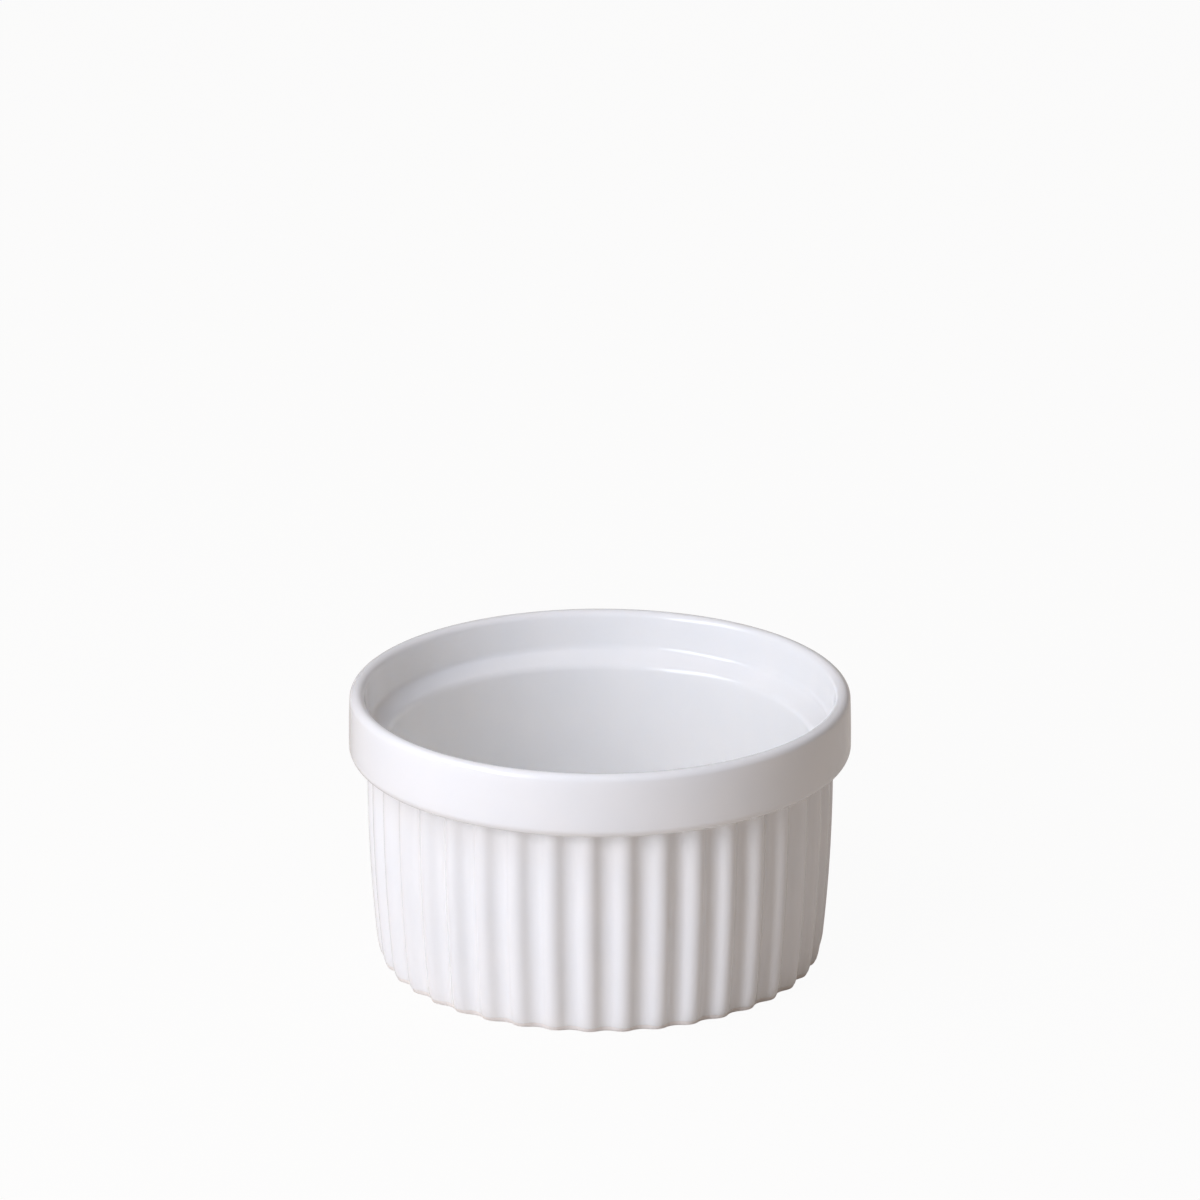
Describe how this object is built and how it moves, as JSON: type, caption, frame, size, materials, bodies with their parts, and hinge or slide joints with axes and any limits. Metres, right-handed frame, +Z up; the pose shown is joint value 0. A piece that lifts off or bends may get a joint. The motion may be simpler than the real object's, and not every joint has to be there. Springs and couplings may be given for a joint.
{
  "type": "ramekin",
  "caption": "Small round souffle ramekin in white glazed porcelain, with fluted sides, a plain rounded collar and a stepped ledge inside the rim.",
  "frame": {"origin": "centre of the base, on the surface the ramekin stands on", "axes": "+Z up along the axis of the pot; a groove between two ribs faces -Y, the side the picture shows"},
  "size_m": [0.09, 0.09, 0.05],
  "materials": {
    "biscuit_porcelain": "bare fired porcelain, matt and slightly gritty",
    "white_glaze": "clear gloss glaze on white porcelain"
  },
  "bodies": {
    "root": {"porcelain_body": "biscuit_porcelain", "glaze_coat": "white_glaze", "underside_glaze": "white_glaze"}
  },
  "joints": []
}
